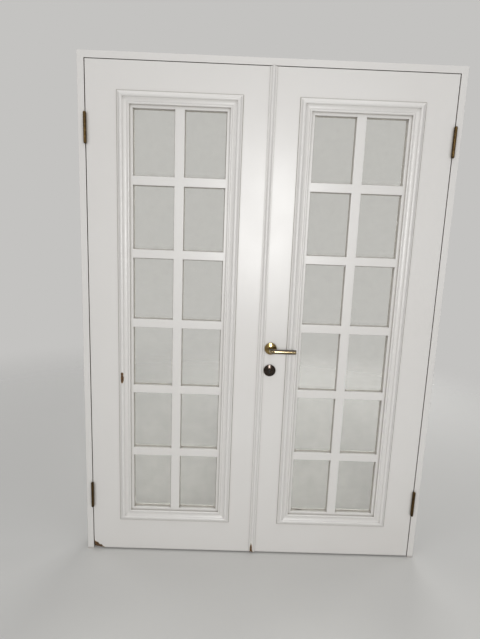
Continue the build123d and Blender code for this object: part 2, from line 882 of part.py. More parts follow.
def bolt_plate(end):
    """The face plate of a flush bolt, slotted for its thumb piece."""
    _, _, (low, high) = bolt_ends(end)
    plate = block(meeting_edge, case_front, -plate_width / 2, plate_width / 2, low, high)
    thumb_low, thumb_high = thumb_span(end)
    half = bolt_thumb_width / 2 + bolt_clearance
    top = thumb_high + bolt_clearance + (bolt_travel if end == "top" else 0)
    bottom = thumb_low - bolt_clearance - (0 if end == "top" else bolt_travel)
    slot = block(meeting_edge - 1, case_front + 1, -half, half, bottom, top)
    return plate - [slot] - screws_at(bolt_screw_places(end), (1, 0, 0), screw_clearance)


def bolt_rod(end):
    """The shooting rod with its slider and thumb piece, drawn back."""
    outer, inward, _ = bolt_ends(end)
    low, high = slider_span(end)
    thumb_low, thumb_high = thumb_span(end)
    x = -bolt_x
    half = bolt_slider_width / 2
    start = outer + inward * 1.0
    inner_end = high if end == "top" else low
    shaft = rod(x, 0, min(start, inner_end), max(start, inner_end), bolt_radius)
    slider = block(case_front + bolt_clearance, x + half, -half, half, low, high)
    thumb = block(meeting_edge + bolt_clearance, x, -bolt_thumb_width / 2, bolt_thumb_width / 2,
                  thumb_low, thumb_high)
    return shaft + slider + thumb


# Every piece by name
pieces = {}
beam = head()
hinges = hinge_bottoms()

pieces["right_jamb"] = jamb(beam)
pieces["left_jamb"] = left_hand(pieces["right_jamb"])
pieces["head"] = finished_head(beam)
pieces["head_keep"] = head_keep()
pieces["head_keep_screws"] = group(screws_at(keep_screw_places(), (0, 0, 1)))

for place, low in hinges.items():
    for side, hand in (("right", lambda shape: shape), ("left", left_hand)):
        pieces[f"{side}_{place}_hinge_frame_plate"] = hand(frame_hinge_leaf(low))
        pieces[f"{side}_{place}_hinge_door_plate"] = hand(door_hinge_leaf(low))
        pieces[f"{side}_{place}_hinge_pin"] = hand(hinge_pin(low))

frame_places = [place for low in hinges.values() for place in hinge_screw_places(low, rebate_face)]
door_places = [place for low in hinges.values() for place in hinge_screw_places(low, hinge_edge)]
frame_screws = screws_at(frame_places, (1, 0, 0))
door_screws = screws_at(door_places, (-1, 0, 0))
pieces["frame_hinge_screws"] = group(frame_screws + [left_hand(screw) for screw in frame_screws])
pieces["right_leaf_hinge_screws"] = group(door_screws)
pieces["left_leaf_hinge_screws"] = group([left_hand(screw) for screw in door_screws])

front_grid = glazing_grid()
front_moulding = moulding()
for name in rail_spans():
    pieces[f"right_{name}"] = rail(name)
    pieces[f"left_{name}"] = left_hand(rail(name))
pieces["right_hinge_stile"] = hinge_stile()
pieces["left_hinge_stile"] = chipped_hinge_stile()
pieces["right_meeting_stile"] = lock_stile()
pieces["left_meeting_stile"] = left_hand(strike_stile())
pieces["right_glass"] = glass()
pieces["left_glass"] = left_hand(glass())
pieces["right_front_grid"] = front_grid
pieces["right_back_grid"] = inner_side(front_grid)
pieces["left_front_grid"] = left_hand(front_grid)
pieces["left_back_grid"] = left_hand(inner_side(front_grid))
pieces["right_front_moulding"] = group(front_moulding)
pieces["right_back_moulding"] = group([inner_side(length) for length in front_moulding])
pieces["left_front_moulding"] = group(dented_moulding())
pieces["left_back_moulding"] = group([left_hand(inner_side(length)) for length in front_moulding])
pieces["cover_strip"] = cover_strip()

pieces["lock_faceplate"] = lock_faceplate()
pieces["lock_faceplate_screws"] = group(screws_at(faceplate_screw_places(), (1, 0, 0)))
pieces["lock_case"] = lock_case()
pieces["lock_cover"] = lock_cover()
pieces["follower"] = follower()
pieces["latch_bolt"] = latch_bolt()
pieces["deadbolt"] = deadbolt()
pieces["spindle"] = spindle()
pieces["outer_lever"] = lever()
pieces["inner_lever"] = inner_side(lever())
pieces["outer_rose"] = rose()
pieces["inner_rose"] = inner_side(rose())
pieces["outer_escutcheon"] = escutcheon()
pieces["inner_escutcheon"] = inner_side(escutcheon())

strike_screws = screws_at(strike_screw_places(), (1, 0, 0))
bolt_screws = [screw for end in ("top", "bottom") for screw in screws_at(bolt_screw_places(end), (1, 0, 0))]
pieces["strike_plate"] = left_hand(strike_plate())
pieces["strike_screws"] = group([left_hand(screw) for screw in strike_screws])
pieces["flush_bolt_screws"] = group([left_hand(screw) for screw in bolt_screws])
for end in ("top", "bottom"):
    pieces[f"{end}_bolt_plate"] = left_hand(bolt_plate(end))
    pieces[f"{end}_bolt_rod"] = left_hand(bolt_rod(end))

for name, shape in pieces.items():
    export_step(shape, f"parts/{name}.step")
    print(name, len(shape.solids()), "solid,", round(shape.volume / 1000, 1), "cm3")
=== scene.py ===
# %% [markdown]
# # A pair of french doors, dressed on its frame
#
# The solid parts come from the CAD model and already have their true shape and place. This notebook gives
# them their finishes, adds the small pieces that belong to the glazier and the fitter, and sets up the
# picture. One Blender unit is one metre. The doors stand at the origin and face the viewer along -Y.

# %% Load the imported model
import json
import math

import bpy
import bmesh
from mathutils import Matrix, Vector


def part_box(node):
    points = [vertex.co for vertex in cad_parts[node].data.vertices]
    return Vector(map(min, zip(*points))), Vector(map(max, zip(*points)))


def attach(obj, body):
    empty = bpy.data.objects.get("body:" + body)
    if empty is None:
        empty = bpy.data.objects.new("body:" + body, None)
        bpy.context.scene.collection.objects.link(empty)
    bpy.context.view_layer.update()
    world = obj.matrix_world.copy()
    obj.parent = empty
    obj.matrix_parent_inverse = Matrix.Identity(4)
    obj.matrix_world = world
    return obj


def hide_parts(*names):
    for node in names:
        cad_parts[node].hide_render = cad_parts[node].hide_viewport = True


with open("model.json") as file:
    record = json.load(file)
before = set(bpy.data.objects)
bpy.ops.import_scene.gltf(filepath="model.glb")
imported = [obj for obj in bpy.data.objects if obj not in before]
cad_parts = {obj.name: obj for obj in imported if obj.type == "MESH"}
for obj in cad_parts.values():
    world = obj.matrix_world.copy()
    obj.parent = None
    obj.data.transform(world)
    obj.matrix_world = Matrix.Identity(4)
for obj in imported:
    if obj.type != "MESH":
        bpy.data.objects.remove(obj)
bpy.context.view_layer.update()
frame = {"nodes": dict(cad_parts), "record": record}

nodes = frame["nodes"]
MM = 0.001

# %% [markdown]
# ## The camera
#
# The picture was taken by hand from about head height, a step to the left of the middle, looking slightly
# down. A pinhole fitted to the corners of both leaves gives the place, the angles in radians and the lens
# below. The sensor width belongs to the long side of the picture, which is its height here.

# %% Camera
PICTURE_HEIGHT = 639
FOCAL_PIXELS = 458.4
SENSOR = 36.0
CAMERA_PLACE = Vector((-0.116, -1.875, 1.407))
CAMERA_YAW, CAMERA_DOWN, CAMERA_ROLL = -0.014, 0.179, 0.038

bpy.ops.object.select_all(action="DESELECT")
bpy.ops.object.camera_add(location=CAMERA_PLACE)
camera = bpy.context.object
camera.name = "camera"
camera.data.lens = SENSOR * FOCAL_PIXELS / PICTURE_HEIGHT
camera.data.sensor_width = SENSOR
turn = Matrix.Rotation(CAMERA_YAW, 4, "Z") @ Matrix.Rotation(math.pi / 2 - CAMERA_DOWN, 4, "X")
turn = turn @ Matrix.Rotation(CAMERA_ROLL, 4, "Z")
camera.matrix_world = Matrix.Translation(CAMERA_PLACE) @ turn
bpy.context.scene.camera = camera
print("lens", round(camera.data.lens, 2), "mm")

# %% [markdown]
# ## Colour and nodes
#
# Colours are written as the sRGB hex values that a paint chart would give, and one function turns them to
# the linear values that the shader needs. A second small function adds a node, sets its values and makes its
# links. A node keeps a socket for every kind of data and has only some of them in use, so the function takes
# the first one in use. The inputs of a Math node all have one name, so n0, n1 and n2 give their numbers.


# %% Colour and node helpers
def linear(hex_colour):
    """An sRGB hex colour as linear red, green and blue, and full alpha."""
    parts = [int(hex_colour[i:i + 2], 16) / 255 for i in (1, 3, 5)]
    return (*[p / 12.92 if p <= 0.04045 else ((p + 0.055) / 1.055) ** 2.4 for p in parts], 1.0)


def in_use(sockets, name=None):
    """The first of a node's inputs or outputs that is in use, or the first one with this name."""
    return next(socket for socket in sockets if socket.enabled and name in (None, socket.name))


def add(tree, kind, settings=None, **inputs):
    """Adds a node, sets its properties, and gives each input a value or a link from a node or an output."""
    node = tree.nodes.new(kind)
    for key, value in (settings or {}).items():
        setattr(node, key, value)
    for key, value in inputs.items():
        numbered = key[0] == "n" and key[1:].isdigit()
        socket = node.inputs[int(key[1:])] if numbered else in_use(node.inputs, key.replace("_", " "))
        if isinstance(value, bpy.types.Node):
            value = in_use(value.outputs)
        if isinstance(value, bpy.types.NodeSocket):
            tree.links.new(value, socket)
        else:
            socket.default_value = value
    return node


def new_material(name):
    """A material with an empty node tree, and the tree."""
    material = bpy.data.materials.new(name)
    material.use_nodes = True
    material.node_tree.nodes.clear()
    return material, material.node_tree


def per_metre(size_mm):
    """Noise scale that makes features of about this size, on coordinates in metres."""
    return 1.0 / (size_mm * MM)


# For a Mix node that mixes colours.
COLOURS = {"data_type": "RGBA"}
print("middle grey is", round(linear("#808080")[0], 3), "in linear light")

# %% [markdown]
# ## White satin lacquer
#
# The leaves are fibreboard faces on a softwood core, sprayed with white lacquer. Up close the spray leaves a
# soft orange-peel ripple. The film has warmed with age. The corners of the mouldings and of the panes are
# darkened with painted shade, which also stands for a little grime there. An ambient occlusion node finds
# those corners, so the painted shade follows the shape by itself. The outer edge of a moulding is too
# shallow for that, so a thin dark line of painted shadow is drawn where it meets its stile. The line is the
# outline of the moulding's box, and taking x without its sign serves both leaves. It is really about 1 mm
# wide and drawn at 2 mm, and the ripple is really 1 to 2 mm across and drawn at 9 mm, because a pixel here
# is 4 mm. Sizes are in millimetres.

# %% Lacquer colours and pattern sizes
LACQUER_WHITE = linear("#DBD9D6")
LACQUER_AGED = linear("#D2CFCB")
# Painted shade: the colour that corners and the outer edge of a moulding are darkened to.
PAINTED_SHADE = linear("#7F786D")
LACQUER_IOR = 1.5
AGEING_PATCH = 420.0
PATCH_LOW, PATCH_HIGH = 0.3, 0.7
SATIN_FRESH, SATIN_WORN = 0.28, 0.38
ORANGE_PEEL, PEEL_HEIGHT = 9.0, 0.6
SHADE_REACH = 14.0
# The share of its surroundings that a point sees, where the painted shade is full and where it ends.
DEEP_CORNER, OPEN_FACE = 0.30, 0.93
# The painted shadow line at a moulding's outer edge: where it is full, where it ends, and how dark it is.
JOINT_CORE, JOINT_EDGE, JOINT_SHADE = 0.5, 1.7, 0.9


def moulding_joint(tree, place):
    """Distance in metres from the line where the outer edge of a moulding meets its leaf."""
    low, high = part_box("right_front_moulding")
    middle = (low + high) / 2
    half = (high - low) / 2
    away = add(tree, "ShaderNodeVectorMath", {"operation": "ABSOLUTE"}, n0=place)
    away = add(
        tree, "ShaderNodeVectorMath", {"operation": "SUBTRACT"}, n0=away, n1=(middle.x, 0, middle.z))
    away = add(tree, "ShaderNodeVectorMath", {"operation": "ABSOLUTE"}, n0=away)
    away = add(tree, "ShaderNodeVectorMath", {"operation": "SUBTRACT"}, n0=away, n1=(half.x, 0, half.z))
    away = add(tree, "ShaderNodeSeparateXYZ", n0=away).outputs
    outside = add(tree, "ShaderNodeMath", {"operation": "MAXIMUM"}, n0=away["X"], n1=away["Z"])
    return add(tree, "ShaderNodeMath", {"operation": "ABSOLUTE"}, n0=outside)


# %% [markdown]
# ## Where the lacquer is broken
#
# Three places show the bare brown fibreboard: the broken foot of the left leaf, a gouge in a moulding beside
# its panes, and the split end of the cover strip. The CAD model has their shapes. Paint doesn't stop exactly
# at such a break but flakes off a little further, with a ragged edge. So each break gives its distance in
# millimetres, below zero inside it, worked out from the same sizes as the cut, and the material adds noise to
# that distance. All sizes here are in millimetres.
#
# The corner is cut by a plane that slopes between three edges of the leaf, with two bites behind it. The
# walls of the bites lie inside the wood. So a point is bare if it is a little under the leaf's faces and not
# much further in than the plane.

# %% Distance from the broken corner
LEAF_CORNER = Vector((-706.0, -20.0, 8.0))
CHIP_WIDTH, CHIP_DEPTH, CHIP_HEIGHT = 40.0, 10.0, 29.0
BITE_REACH = 1.8
BITE_SKIN, BITE_FULL = 0.05, 0.25
FAR_INSIDE, FAR_OUTSIDE = -4.0, 4.0


def broken_corner(tree, place):
    """Distance from the sloping face of the broken corner and from the walls of the bites behind it."""
    slope = Vector((1 / CHIP_WIDTH, 1 / CHIP_DEPTH, 1 / CHIP_HEIGHT))
    steep = slope.length
    inward = add(tree, "ShaderNodeVectorMath", {"operation": "SUBTRACT"}, n0=place, n1=LEAF_CORNER * MM)
    share = add(tree, "ShaderNodeVectorMath", {"operation": "DOT_PRODUCT"}, n0=inward, n1=slope / MM)
    face = add(
        tree, "ShaderNodeMath", {"operation": "MULTIPLY_ADD"}, n0=share, n1=1 / steep, n2=-1 / steep)
    parts = add(tree, "ShaderNodeSeparateXYZ", n0=inward).outputs
    depth = add(tree, "ShaderNodeMath", {"operation": "MINIMUM"}, n0=parts["X"], n1=parts["Y"])
    depth = add(tree, "ShaderNodeMath", {"operation": "MINIMUM"}, n0=depth, n1=parts["Z"])
    wall = add(
        tree, "ShaderNodeMapRange", Value=depth, From_Min=BITE_SKIN * MM, From_Max=BITE_FULL * MM,
        To_Min=FAR_OUTSIDE, To_Max=FAR_INSIDE)
    beyond = add(
        tree, "ShaderNodeMath", {"operation": "MULTIPLY_ADD"}, n0=share, n1=1 / steep,
        n2=-BITE_REACH / steep)
    wall = add(tree, "ShaderNodeMath", {"operation": "MAXIMUM"}, n0=wall, n1=beyond)
    return add(tree, "ShaderNodeMath", {"operation": "MINIMUM"}, n0=face, n1=wall)


print("broken corner", CHIP_WIDTH, "x", CHIP_DEPTH, "x", CHIP_HEIGHT, "mm")

# %% [markdown]
# A gouge is the part of a long ball that reaches into the wood. Its width and depth give the ball's radius,
# and stretching the ball upwards gives the gouge its length. The distance is worked out in the space where
# the ball is round.

# %% Distances from the gouges
MOULDING_MIDDLE, MOULDING_FRONT = -574.0, -31.0
STRIP_SIDE, STRIP_FRONT = -3.0, -29.0
LEAF_FOOT = 8.0


def gouge(x, front, z, width, length, depth):
    """Distance from an upright gouge in a front face, as a function of tree and place."""
    radius = (width**2 / 4 + depth**2) / (2 * depth)
    half_length = radius * length / width

    def distance(tree, place):
        ball = add(
            tree, "ShaderNodeMapping", {"vector_type": "TEXTURE"}, Vector=place,
            Location=(x * MM, (front - radius + depth) * MM, z * MM),
            Scale=(radius * MM, radius * MM, half_length * MM))
        away = add(tree, "ShaderNodeVectorMath", {"operation": "LENGTH"}, n0=ball)
        return add(tree, "ShaderNodeMath", {"operation": "MULTIPLY_ADD"}, n0=away, n1=radius, n2=-radius)

    return distance


dent = gouge(x=MOULDING_MIDDLE, front=MOULDING_FRONT, z=804, width=14, length=34, depth=5)
nick = gouge(x=MOULDING_MIDDLE, front=MOULDING_FRONT, z=824, width=11, length=11, depth=4)
split = gouge(x=STRIP_SIDE, front=STRIP_FRONT, z=LEAF_FOOT, width=10, length=68, depth=6.5)
crush = gouge(x=STRIP_SIDE, front=STRIP_FRONT, z=LEAF_FOOT, width=20, length=17, depth=6.5)
print("gouges", len([dent, nick, split, crush]))

# %% [markdown]
# ## Torn fibreboard
#
# Fibreboard is wood fibre pressed into a board. Where it is torn, it is matt and comes apart in layers:
# darker and lighter brown crumbs a few millimetres across, drawn out along the leaf's face. The film round
# the break ends in a ragged edge, with a beige rim of undercoat and bruised board. So noise of the size of
# the flakes shifts the distance from the break before it is cut off. Sizes are in millimetres.

# %% Fibreboard and the edge of the film
FIBREBOARD = linear("#7E5E3E")
FIBREBOARD_DARK = linear("#2A1D14")
UNDERCOAT = linear("#A8977E")
FIBRE_CRUMB, TORN_DEPTH = 5.0, 2.5
LAYER_SQUEEZE = 2.5
CRUMB_DARK, CRUMB_LIGHT = 0.35, 0.65
TEAR, TEAR_REACH = 4.5, 3.0
BOARD_ENDS, BOARD_FULL = 0.95, 0.75
RIM_ENDS, RIM_FULL = 1.9, 1.3


def torn_board(tree, place):
    """The shader of bare fibreboard, torn in layers."""
    layers = add(tree, "ShaderNodeMapping", Vector=place, Scale=(1.0, LAYER_SQUEEZE, 1.0))
    crumbs = add(
        tree, "ShaderNodeTexNoise", Vector=layers, Scale=per_metre(FIBRE_CRUMB), Detail=6.0, Roughness=0.65)
    contrast = add(tree, "ShaderNodeMapRange", Value=crumbs, From_Min=CRUMB_DARK, From_Max=CRUMB_LIGHT)
    brown = add(tree, "ShaderNodeMix", COLOURS, Factor=contrast, A=FIBREBOARD_DARK, B=FIBREBOARD)
    torn = add(tree, "ShaderNodeBump", Strength=1.0, Distance=TORN_DEPTH * MM, Height=crumbs)
    return add(tree, "ShaderNodeBsdfPrincipled", Base_Color=brown, Roughness=0.95, Normal=torn)


def torn_edges(tree, place, breaks):
    """Masks of the bare board and of the beige rim round it, from the distances to the breaks."""
    distance = breaks[0](tree, place)
    for other in breaks[1:]:
        distance = add(
            tree, "ShaderNodeMath", {"operation": "MINIMUM"}, n0=distance, n1=other(tree, place))
    tear = add(tree, "ShaderNodeTexNoise", Vector=place, Scale=per_metre(TEAR), Detail=3.0)
    shift = add(tree, "ShaderNodeMath", {"operation": "SUBTRACT"}, n0=tear, n1=0.5)
    ragged = add(
        tree, "ShaderNodeMath", {"operation": "MULTIPLY_ADD"}, n0=shift, n1=TEAR_REACH, n2=distance)
    bare = add(tree, "ShaderNodeMapRange", Value=ragged, From_Min=BOARD_ENDS, From_Max=BOARD_FULL)
    rim = add(tree, "ShaderNodeMapRange", Value=ragged, From_Min=RIM_ENDS, From_Max=RIM_FULL)
    return bare, rim


print("the film flakes back by up to", BOARD_ENDS + TEAR_REACH / 2, "mm")

# %% [markdown]
# ## The lacquer material
#
# The same film covers every wooden piece, so one function makes it, with or without breaks. The slow noise
# that warms the colour also dulls the sheen, because old lacquer loses both together. At a break, the bump of
# the mask gives the film its thickness.

# %% Lacquer material
FILM_EDGE = 0.5


def lacquer(name, *breaks):
    """White satin lacquer, with torn fibreboard and a beige rim at the breaks."""
    material, tree = new_material(name)
    place = add(tree, "ShaderNodeTexCoord").outputs["Object"]
    patches = add(tree, "ShaderNodeTexNoise", Vector=place, Scale=per_metre(AGEING_PATCH), Detail=3.0)
    aged = add(tree, "ShaderNodeMix", COLOURS, Factor=patches, A=LACQUER_WHITE, B=LACQUER_AGED)
    # Painted shade: darker in the corners that occlusion finds and in a line along a moulding's outer edge.
    corners = add(tree, "ShaderNodeAmbientOcclusion", {"samples": 8}, Distance=SHADE_REACH * MM)
    shade = add(
        tree, "ShaderNodeMapRange", Value=corners.outputs["AO"], From_Min=DEEP_CORNER, From_Max=OPEN_FACE,
        To_Min=1.0, To_Max=0.0)
    line = add(
        tree, "ShaderNodeMapRange", Value=moulding_joint(tree, place), From_Min=JOINT_CORE * MM,
        From_Max=JOINT_EDGE * MM, To_Min=JOINT_SHADE, To_Max=0.0)
    shaded = add(tree, "ShaderNodeMath", {"operation": "MAXIMUM"}, n0=shade, n1=line)
    tone = add(tree, "ShaderNodeMix", COLOURS, Factor=shaded, A=aged, B=PAINTED_SHADE)
    sheen = add(
        tree, "ShaderNodeMapRange", Value=patches, From_Min=PATCH_LOW, From_Max=PATCH_HIGH,
        To_Min=SATIN_FRESH, To_Max=SATIN_WORN)
    ripple = add(tree, "ShaderNodeTexNoise", Vector=place, Scale=per_metre(ORANGE_PEEL), Detail=2.0)
    relief = add(tree, "ShaderNodeBump", Strength=0.08, Distance=PEEL_HEIGHT * MM, Height=ripple)
    if breaks:
        bare, rim = torn_edges(tree, place, breaks)
        tone = add(tree, "ShaderNodeMix", COLOURS, Factor=rim, A=tone, B=UNDERCOAT)
        relief = add(
            tree, "ShaderNodeBump", {"invert": True}, Strength=0.7, Distance=FILM_EDGE * MM, Height=bare,
            Normal=relief)
    surface = add(
        tree, "ShaderNodeBsdfPrincipled", Base_Color=tone, Roughness=sheen, IOR=LACQUER_IOR, Normal=relief)
    if breaks:
        surface = add(tree, "ShaderNodeMixShader", Fac=bare, n1=surface, n2=torn_board(tree, place))
    add(tree, "ShaderNodeOutputMaterial", Surface=surface)
    return material


white_lacquer = lacquer("white_satin_lacquer")
BROKEN_FINISH = {
    "left_hinge_stile": lacquer("white_satin_lacquer_broken_corner", broken_corner),
    "left_front_moulding": lacquer("white_satin_lacquer_dented", dent, nick),
    "cover_strip": lacquer("white_satin_lacquer_split", split, crush),
}
print("lacquers", 1 + len(BROKEN_FINISH))

# %% [markdown]
# ## Brass and steel
#
# The levers and roses are brass, drawn or turned, polished and sprayed with a thin clear lacquer. The lacquer
# mirrors a lamp as a small white spot over the warm reflection in the metal, and where it has worn through,
# the brass has gone brown. The top and underside of a lever are painted dark as a dark reflection, so there
# the tone follows the slope of the surface. All the metals are stained in patches and specked. The specks
# are really under 1 mm, so they are drawn at 3 mm.

# %% How a metal is made
TARNISH_SPECK, SPECK_PIT = 3.0, 0.1
STAIN_STARTS, STAIN_FULL = 0.35, 0.75
SPECK_STARTS, SPECK_FULL, SPECK_TONE = 0.58, 0.72, 0.6
# The upward part of the surface's direction, where the painted dark reflection starts and where it is full.
REFLECTION_DARK_STARTS, REFLECTION_DARK_FULL = 0.31, 0.69


def metal(name, bright, dull, smooth, rough, patch, clear_coat=0.0, dark_reflection_edges=False):
    """A metal with patches and specks of tarnish that are also rougher, under some clear lacquer."""
    material, tree = new_material(name)
    coordinates = add(tree, "ShaderNodeTexCoord").outputs
    place = coordinates["Object"]
    patches = add(tree, "ShaderNodeTexNoise", Vector=place, Scale=per_metre(patch), Detail=4.0)
    stain = add(tree, "ShaderNodeMapRange", Value=patches, From_Min=STAIN_STARTS, From_Max=STAIN_FULL)
    specks = add(tree, "ShaderNodeTexNoise", Vector=place, Scale=per_metre(TARNISH_SPECK), Detail=2.0)
    speck = add(
        tree, "ShaderNodeMapRange", Value=specks, From_Min=SPECK_STARTS, From_Max=SPECK_FULL,
        To_Max=SPECK_TONE)
    worn = add(tree, "ShaderNodeMath", {"operation": "MAXIMUM"}, n0=stain, n1=speck)
    # Painted dark reflection: the top and underside of a lever take the dull tone, by their slope.
    if dark_reflection_edges:
        upward = add(tree, "ShaderNodeSeparateXYZ", n0=coordinates["Normal"]).outputs["Z"]
        slope = add(tree, "ShaderNodeMath", {"operation": "ABSOLUTE"}, n0=upward)
        reflection_dark = add(
            tree, "ShaderNodeMapRange", Value=slope, From_Min=REFLECTION_DARK_STARTS, From_Max=REFLECTION_DARK_FULL)
        worn = add(tree, "ShaderNodeMath", {"operation": "MAXIMUM"}, n0=worn, n1=reflection_dark)
    tone = add(tree, "ShaderNodeMix", COLOURS, Factor=worn, A=linear(bright), B=linear(dull))
    haze = add(tree, "ShaderNodeMapRange", Value=worn, To_Min=smooth, To_Max=rough)
    pitted = add(tree, "ShaderNodeBump", Strength=0.10, Distance=SPECK_PIT * MM, Height=specks)
    surface = add(
        tree, "ShaderNodeBsdfPrincipled", Base_Color=tone, Metallic=1.0, Roughness=haze,
        Coat_Weight=clear_coat, Coat_Roughness=0.10, Normal=pitted)
    add(tree, "ShaderNodeOutputMaterial", Surface=surface)
    return material


print("specks drawn at", TARNISH_SPECK, "mm")

# %% [markdown]
# The finishes differ in colour, in how smooth the bright and the dull parts are, in the size of the stains in
# millimetres, and in how much clear lacquer is left.

# %% The metals of these doors
# Turned, polished and lacquered: warm mirrors of the room, with a white spot where a lamp stands.
polished_brass = metal(
    "polished_lacquered_brass", bright="#9C8452", dull="#57452A", smooth=0.13, rough=0.24, patch=30.0,
    clear_coat=0.3)
# Pale and smooth in front, with a painted dark reflection above and below.
dark_edged_lever_brass = metal(
    "lever_brass_painted_dark_reflection", bright="#A18F68", dull="#2C2015", smooth=0.08, rough=0.20, patch=30.0,
    clear_coat=0.8, dark_reflection_edges=True)
# The key plates, painted nearly black as a dark reflection, under what is left of their lacquer.
key_plate_brass_painted_dark = metal(
    "key_plate_brass_painted_dark", bright="#33271C", dull="#1B140F", smooth=0.12, rough=0.24, patch=14.0,
    clear_coat=0.5)
# The hinges, browned in a bath and dulled by use: soft brown gloss.
bronzed_brass = metal("bronzed_brass", bright="#5E4B2D", dull="#35291B", smooth=0.28, rough=0.45, patch=16.0)
# Plates, keeps, bolts and screws, brass plated and never polished: a wide dull shine.
plated_brass = metal("brass_plate", bright="#93794A", dull="#5E4B2D", smooth=0.24, rough=0.42, patch=18.0)
# The case and the works of the lock, zinc plated: cool grey with a cloudy shine.
zinc_steel = metal("zinc_plated_steel", bright="#B9BABC", dull="#8E9093", smooth=0.30, rough=0.45, patch=12.0)
print("materials so far", len(bpy.data.materials))

# %% [markdown]
# ## Float glass
#
# One clear pane, 4 mm thick, runs behind all twelve openings of a leaf, and it is nearly colourless. A film
# of dust makes it slightly milky, and more dust has settled at the foot of each opening, just above the cross
# bar. The openings repeat up the leaf, so one remainder gives the height above the nearest bar below. A
# shadow ray passes straight through, as light does through a thin pane.

# %% Sizes of the openings and the dust
PANE_WIDTH, PANE_HEIGHT = 161.0 * MM, 248.0 * MM
UPRIGHT_BAR, CROSS_BAR = 38.0 * MM, 35.0 * MM
GRID_BORDER = 26.0 * MM
GLASS_TINT = linear("#F6F6F3")
GLASS_SHADE = linear("#F4F4F1")
GLASS_IOR = 1.5
DUST = linear("#BCBBB4")
DUST_PATCH = 60.0
FILM_LOW, FILM_HIGH = 0.3, 0.8
THIN_DUST, THICK_DUST = 0.03, 0.10
SETTLED_HEIGHT, SETTLED_DUST = 20.0 * MM, 0.25

lowest_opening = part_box("left_front_grid")[0].z + GRID_BORDER
print("lowest opening starts at", round(lowest_opening / MM), "mm")


# %% Glass
def float_glass():
    """Clear glass with a thin film of dust, thicker at the foot of each opening."""
    material, tree = new_material("clear_float_glass")
    place = add(tree, "ShaderNodeTexCoord").outputs["Object"]
    film = add(tree, "ShaderNodeTexNoise", Vector=place, Scale=per_metre(DUST_PATCH), Detail=5.0)
    thin = add(
        tree, "ShaderNodeMapRange", Value=film, From_Min=FILM_LOW, From_Max=FILM_HIGH, To_Min=THIN_DUST,
        To_Max=THICK_DUST)
    height = add(tree, "ShaderNodeSeparateXYZ", n0=place).outputs["Z"]
    height = add(tree, "ShaderNodeMath", {"operation": "SUBTRACT"}, n0=height, n1=lowest_opening)
    height = add(
        tree, "ShaderNodeMath", {"operation": "FLOORED_MODULO"}, n0=height, n1=PANE_HEIGHT + CROSS_BAR)
    settled = add(
        tree, "ShaderNodeMapRange", {"interpolation_type": "SMOOTHSTEP"}, Value=height,
        From_Max=SETTLED_HEIGHT, To_Min=SETTLED_DUST, To_Max=0.0)
    uneven = add(tree, "ShaderNodeMath", {"operation": "MULTIPLY"}, n0=settled, n1=film)
    amount = add(tree, "ShaderNodeMath", {"operation": "ADD"}, n0=thin, n1=uneven)
    glass = add(
        tree, "ShaderNodeBsdfPrincipled", Base_Color=GLASS_TINT, Roughness=0.02, IOR=GLASS_IOR,
        Transmission_Weight=1.0)
    dust = add(tree, "ShaderNodeBsdfDiffuse", Color=DUST)
    dusty = add(tree, "ShaderNodeMixShader", Fac=amount, n1=glass, n2=dust)
    clear = add(tree, "ShaderNodeBsdfTransparent", Color=GLASS_SHADE)
    shadow = add(tree, "ShaderNodeLightPath").outputs["Is Shadow Ray"]
    surface = add(tree, "ShaderNodeMixShader", Fac=shadow, n1=dusty, n2=clear)
    add(tree, "ShaderNodeOutputMaterial", Surface=surface)
    return material


clear_glass = float_glass()
print("glass", clear_glass.name)

# %% [markdown]
# ## Which finish goes where
#
# Each CAD node names a material slot: lacquer, glass, brass or steel. The slot decides the finish, a few
# words in the nodes' names pick out the levers, roses, key plates and hinges, and the three broken pieces
# have a lacquer of their own. Only materials change here, and the shapes stay as the CAD model has them.

# %% Give every CAD node its finish
SLOT_FINISH = {"lacquer": white_lacquer, "glass": clear_glass, "brass": plated_brass, "steel": zinc_steel}
WORD_FINISH = {
    "lever": dark_edged_lever_brass,
    "rose": polished_brass,
    "escutcheon": key_plate_brass_painted_dark,
    "hinge_door_plate": bronzed_brass,
    "hinge_frame_plate": bronzed_brass,
    "hinge_pin": bronzed_brass,
}
for part in frame["record"]["subparts"]:
    finish = SLOT_FINISH[part["material_slot"]]
    for word, special in WORD_FINISH.items():
        if word in part["node"]:
            finish = special
    finish = BROKEN_FINISH.get(part["node"], finish)
    for slot in nodes[part["node"]].material_slots:
        slot.material = finish
print("finished", len(nodes), "nodes")

# %% [markdown]
# ## Working as by hand
#
# The small pieces are modelled with Blender's own operators. An operator acts on everything that is selected,
# so each step starts with nothing selected, and faces are picked in code by the way they look. A finished
# piece sits at the origin with its place in its mesh, as a CAD node does. What repeats is modelled once,
# copied with a mesh of its own, and joined.


# %% Modelling helpers
def start_alone():
    """Leaves edit mode and deselects everything, so that an operator acts only on what comes next."""
    if bpy.context.object and bpy.context.object.mode != "OBJECT":
        bpy.ops.object.mode_set(mode="OBJECT")
    bpy.ops.object.select_all(action="DESELECT")


def work_on(obj):
    """Selects one object alone and makes it the active one."""
    start_alone()
    obj.select_set(True)
    bpy.context.view_layer.objects.active = obj


def put_in_mesh(obj):
    """Moves an object's place, turn and scale into its mesh."""
    work_on(obj)
    bpy.ops.object.transform_apply(location=True, rotation=True, scale=True)


def pick_faces(obj, wanted):
    """Selects in edit mode the faces that the test wants, and nothing else."""
    bpy.ops.object.mode_set(mode="EDIT")
    bpy.ops.mesh.select_mode(type="FACE")
    bpy.ops.mesh.select_all(action="DESELECT")
    mesh = bmesh.from_edit_mesh(obj.data)
    for face in mesh.faces:
        face.select_set(wanted(face))
    bmesh.update_edit_mesh(obj.data)


